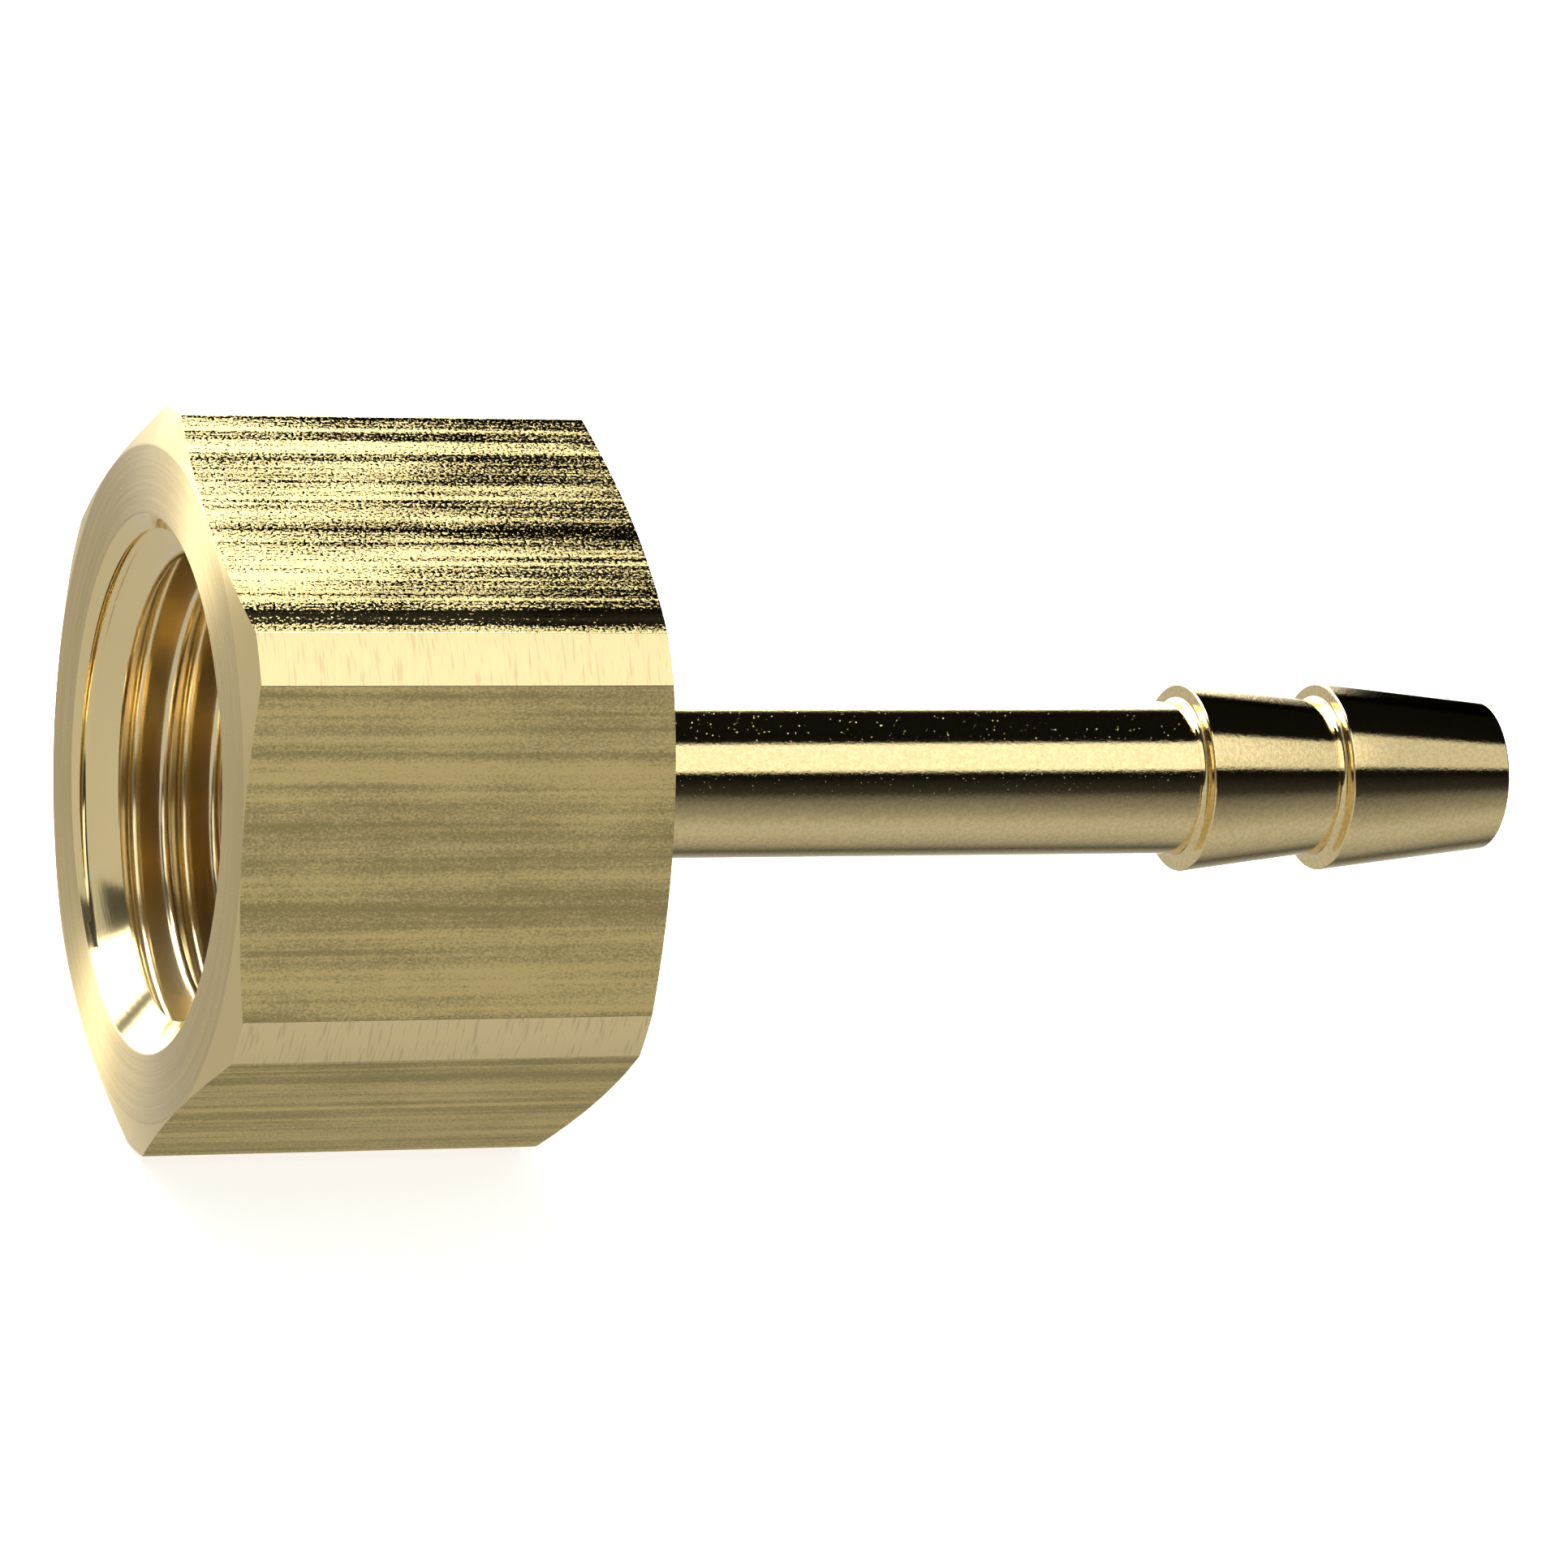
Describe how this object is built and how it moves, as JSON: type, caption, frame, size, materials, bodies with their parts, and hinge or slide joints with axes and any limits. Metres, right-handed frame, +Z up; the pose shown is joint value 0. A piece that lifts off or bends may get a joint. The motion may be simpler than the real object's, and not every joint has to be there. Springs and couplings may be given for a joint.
{
  "type": "screw-on hose tail",
  "caption": "Brass hexagon nut with an internal pipe thread, turned together with a slim barbed tail that a small hose is pushed over.",
  "frame": {"origin": "on the surface that the part lies on, under the middle of its length, straight below its axis", "axes": "+X along the axis from the nut's front face towards the tail's tip, +Z up, square to the flat that it lies on"},
  "size_m": [0.037, 0.0188, 0.017],
  "materials": {
    "brass": "bright turned and drawn brass, unplated"
  },
  "bodies": {
    "root": {"hose_tail": "brass"}
  },
  "joints": []
}
